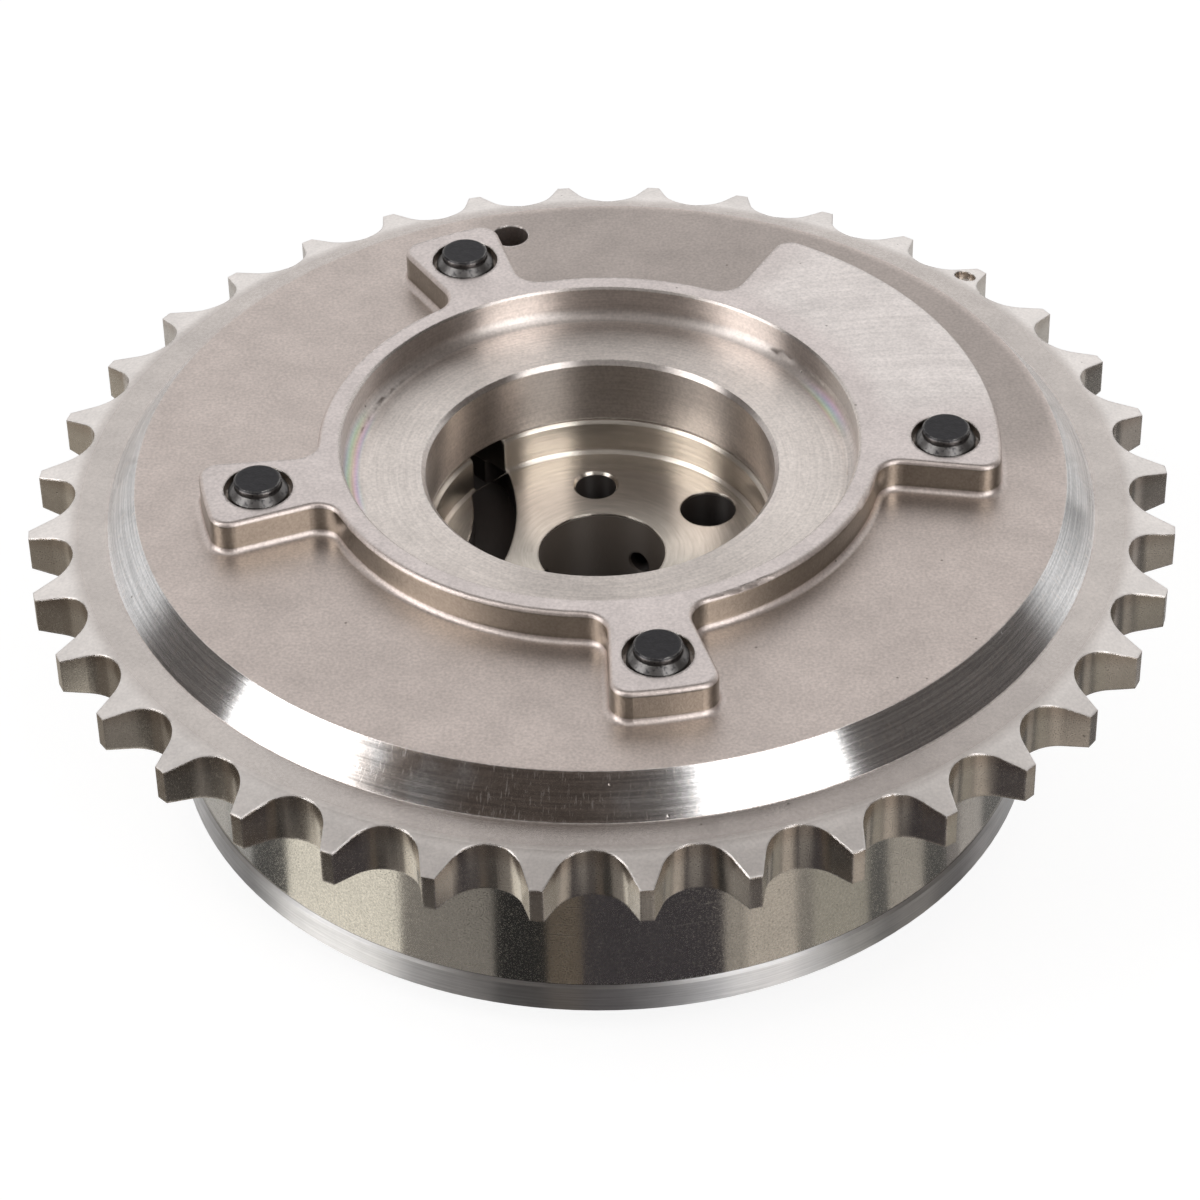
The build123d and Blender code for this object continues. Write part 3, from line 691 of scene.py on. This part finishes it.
def finish(names, material):
    """Give the named solids a material."""
    for name in names:
        for slot in nodes[name].material_slots:
            slot.material = material


def flexing_spring(name, node):
    """Stand a copy in for a coil spring, and hide the spring."""
    mesh = bpy.data.meshes.new(name)
    shape = bmesh.new()
    shape.from_mesh(nodes[node].data)
    bmesh.ops.remove_doubles(shape, verts=shape.verts, dist=0.001 * MM)
    shape.to_mesh(mesh)
    shape.free()
    for slot in nodes[node].material_slots:
        mesh.materials.append(slot.material)
    piece = bpy.data.objects.new(name, mesh)
    bpy.context.collection.objects.link(piece)
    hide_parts(node)
    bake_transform(piece)


def numbered(stem):
    """Return the node names that share a stem."""
    return [f"{stem}_{number}" for number in range(1, COUNT + 1)]


class PHASER_OT_sprocket_plate(bpy.types.Operator):
    """Finish the toothed plate"""

    bl_idname = "phaser.sprocket_plate"
    bl_label = "Sprocket Plate"

    def execute(self, context):
        scene = context.scene
        finish(["sprocket_plate"], sprocket_steel(scene.phaser_sizes, scene.phaser_colours))
        return {"FINISHED"}


class PHASER_OT_housing(bpy.types.Operator):
    """Finish the housing and its front cover"""

    bl_idname = "phaser.housing"
    bl_label = "Housing"

    def execute(self, context):
        scene = context.scene
        finish(["housing"], drum_steel(scene.phaser_colours))
        finish(["front_cover"], cover_steel(scene.phaser_sizes, scene.phaser_colours))
        return {"FINISHED"}


class PHASER_OT_rotor(bpy.types.Operator):
    """Finish the rotor"""

    bl_idname = "phaser.rotor"
    bl_label = "Rotor"

    def execute(self, context):
        scene = context.scene
        finish(["rotor"], rotor_steel(scene.phaser_sizes, scene.phaser_colours))
        return {"FINISHED"}


class PHASER_OT_bolts(bpy.types.Operator):
    """Finish the housing bolts"""

    bl_idname = "phaser.bolts"
    bl_label = "Housing Bolts"

    def execute(self, context):
        scene = context.scene
        for bolt in numbered("housing_bolt"):
            low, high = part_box(bolt)
            material = black_oxide(f"black_oxide_steel_{bolt[-1]}", (low + high) / 2, scene.phaser_sizes,
                                   scene.phaser_colours)
            finish([bolt], material)
        return {"FINISHED"}


class PHASER_OT_lock_pin(bpy.types.Operator):
    """Finish the lock pin, its bush, retainer and spring"""

    bl_idname = "phaser.lock_pin"
    bl_label = "Lock Pin"

    def execute(self, context):
        scene = context.scene
        sizes, colours = scene.phaser_sizes, scene.phaser_colours
        ground = plain_metal("ground_hardened_steel", colours.hardened, sizes, 0.2, 0.1)
        finish(["lock_pin", "lock_bush"], ground)
        finish(["lock_pin_retainer"], plain_metal("pressed_steel", colours.hardened, sizes, 0.35, 0.3))
        finish(["lock_pin_spring"], plain_metal("coiled_spring_steel", colours.spring, sizes, 0.3, 0.2))
        flexing_spring("lock_pin_coil", "lock_pin_spring")
        return {"FINISHED"}


class PHASER_OT_seals(bpy.types.Operator):
    """Finish the seal strips and the leaf springs behind them"""

    bl_idname = "phaser.seals"
    bl_label = "Seals"

    def execute(self, context):
        scene = context.scene
        sizes, colours = scene.phaser_sizes, scene.phaser_colours
        finish(numbered("vane_seal") + numbered("lobe_seal"), seal_polymer(colours))
        leaves = numbered("vane_seal_spring") + numbered("lobe_seal_spring")
        finish(leaves, plain_metal("rolled_spring_steel", colours.spring, sizes, 0.28, 0.15))
        return {"FINISHED"}


def area_lamp(name, azimuth, elevation, distance, width, height, radiance):
    """Add a panel lamp that faces the part from a direction, with its radiance in units of white."""
    light = bpy.data.lights.new(name, "AREA")
    light.shape = "RECTANGLE"
    light.size = width
    light.size_y = height
    light.energy = radiance * pi * width * height
    lamp = bpy.data.objects.new(name, light)
    turn = Matrix.Rotation(radians(azimuth + 90), 4, "Z") @ Matrix.Rotation(radians(90 - elevation), 4, "X")
    lamp.matrix_world = turn @ Matrix.Translation((0, 0, distance))
    bpy.context.collection.objects.link(lamp)


def flat_piece(name, points, height, material):
    """Add a flat four-sided stage piece at a height."""
    mesh = bpy.data.meshes.new(name)
    shape = bmesh.new()
    shape.faces.new([shape.verts.new((x, y, height)) for x, y in points])
    bmesh.ops.recalc_face_normals(shape, faces=shape.faces)
    shape.to_mesh(mesh)
    shape.free()
    mesh.materials.append(material)
    piece = bpy.data.objects.new(name, mesh)
    bpy.context.collection.objects.link(piece)
    return piece


def floor_material(stage):
    """Matt white studio floor, lifted to clean white where the camera sees it."""
    material, tree = new_material("studio_floor")
    matt = add(tree, "BsdfDiffuse", {"Color": stage.floor_colour})
    lift = add(tree, "Emission", {"Strength": 1.15})
    seen = add(tree, "LightPath", {}).outputs["Is Camera Ray"]
    shader = add(tree, "MixShader", {"Fac": overlap(tree, seen, 0.75), 1: matt, 2: lift})
    add(tree, "OutputMaterial", {"Surface": shader})
    return material


def card(name, points, height, tone):
    """Lay a grey card on the floor that shows only in the metal."""
    material, tree = new_material(name)
    add(tree, "OutputMaterial", {"Surface": add(tree, "Emission", {"Color": linear(tone)})})
    piece = flat_piece(name, points, height, material)
    piece.visible_camera = False
    piece.visible_diffuse = False
    piece.visible_shadow = False


def polar(radius, angle):
    """Return the flat point at a radius and an angle in degrees."""
    return radius * Vector((cos(radians(angle)), sin(radians(angle))))


def near_card(number, start, end, tone, stage):
    """Lay a card that shows in the drum between two angles, along the way the drum mirrors them."""
    feet = [polar(DRUM_RADIUS, angle) for angle in (start, end)]
    mirrored = [2 * angle + 90 - degrees(stage.azimuth) for angle in (start, end)]
    ends = [foot + polar(stage.card_length, way) for foot, way in zip(feet, mirrored)]
    card(f"grey_card_{number}", [feet[0], ends[0], ends[1], feet[1]], CARD_LEVEL, tone)


def far_card(number, start, end, distance, tone, stage):
    """Lay a card that shows in the tooth gaps."""
    inner, outer = distance * MM, stage.card_length / 2
    points = [polar(inner, start), polar(outer, start), polar(outer, end), polar(inner, end)]
    card(f"far_card_{number}", points, FAR_CARD_LEVEL, tone)


def studio_world(stage):
    """Return bright paper behind the part, a dim room on the camera's side and a grey ceiling."""
    world = bpy.data.worlds.new("studio")
    world.use_nodes = True
    tree = world.node_tree
    tree.nodes.clear()
    way = add(tree, "SeparateXYZ", {"Vector": add(tree, "TexCoord", {}).outputs["Generated"]})
    behind, above = [
        add(tree, "MapRange", {"Value": way.outputs[axis], "From Min": start, "From Max": end},
            interpolation_type="SMOOTHSTEP")
        for axis, (start, end) in (("Y", PAPER_EDGE), ("Z", CEILING_EDGE))
    ]
    room = layered(tree, "RGBA", stage.room, (behind, stage.paper), (above, stage.ceiling, behind))
    background = add(tree, "Background", {"Color": room, "Strength": 1.0})
    add(tree, "OutputWorld", {"Surface": background})
    return world


class PHASER_OT_stage(bpy.types.Operator):
    """Add the floor, the lamps, the surroundings and the camera"""

    bl_idname = "phaser.stage"
    bl_label = "Stage"

    def execute(self, context):
        scene = context.scene
        stage = scene.phaser_stage
        for number, row in enumerate(CARDS, 1):
            near_card(number, *row, stage)
        for number, row in enumerate(FAR_CARDS, 1):
            far_card(number, *row, stage)
        half = stage.floor_size / 2
        outline = [(-half, -half), (half, -half), (half, half), (-half, half)]
        flat_piece("floor", outline, 0.0, floor_material(stage))
        away = stage.panel_distance
        area_lamp("left_panel", -158, 30, away, 0.58, 1.2, stage.panel_radiance)
        area_lamp("right_panel", -51, 32, away, 0.58, 1.1, stage.panel_radiance)
        area_lamp("overhead_panel", -90, 74, away, 1.1, 0.55, stage.overhead_radiance)
        scene.world = studio_world(stage)

        camera_data = bpy.data.cameras.new("camera")
        camera_data.lens = stage.focal_length
        camera_data.sensor_width = 36
        camera_data.clip_start = 0.01
        camera = bpy.data.objects.new("camera", camera_data)
        turn = Matrix.Rotation(stage.azimuth, 4, "Z") @ Matrix.Rotation(pi / 2 - stage.elevation, 4, "X")
        reach = Matrix.Translation((stage.aim_right, stage.aim_up, stage.distance))
        camera.matrix_world = (Matrix.Translation((0, 0, stage.aim_level)) @ turn @ reach
                               @ Matrix.Rotation(stage.roll, 4, "Z"))
        context.collection.objects.link(camera)
        scene.camera = camera
        scene.view_settings.view_transform = "Standard"
        return {"FINISHED"}


OPERATORS = (
    PHASER_OT_sprocket_plate,
    PHASER_OT_housing,
    PHASER_OT_rotor,
    PHASER_OT_bolts,
    PHASER_OT_lock_pin,
    PHASER_OT_seals,
    PHASER_OT_stage,
)


class PHASER_PT_pieces(bpy.types.Panel):
    """Lists the operators that finish the pieces"""

    bl_idname = "PHASER_PT_pieces"
    bl_label = "Cam Phaser"
    bl_space_type = "VIEW_3D"
    bl_region_type = "UI"
    bl_category = "Cam Phaser"

    def draw(self, context):
        for operator in OPERATORS:
            self.layout.operator(operator.bl_idname)


GROUPS = {"phaser_sizes": PhaserSizes, "phaser_colours": PhaserColours, "phaser_stage": PhaserStage}


def register():
    """Register the classes and hang the property groups on the scene."""
    for group in GROUPS.values():
        bpy.utils.register_class(group)
    for operator in OPERATORS:
        bpy.utils.register_class(operator)
    bpy.utils.register_class(PHASER_PT_pieces)
    for name, group in GROUPS.items():
        setattr(bpy.types.Scene, name, PointerProperty(type=group))


def unregister():
    """Undo what register did."""
    for name in GROUPS:
        delattr(bpy.types.Scene, name)
    bpy.utils.unregister_class(PHASER_PT_pieces)
    for operator in reversed(OPERATORS):
        bpy.utils.unregister_class(operator)
    for group in reversed(GROUPS.values()):
        bpy.utils.unregister_class(group)


def main():
    """Finish every piece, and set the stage."""
    register()
    for operator in OPERATORS:
        group, name = operator.bl_idname.split(".")
        getattr(getattr(bpy.ops, group), name)()


if __name__ == "__main__":
    main()
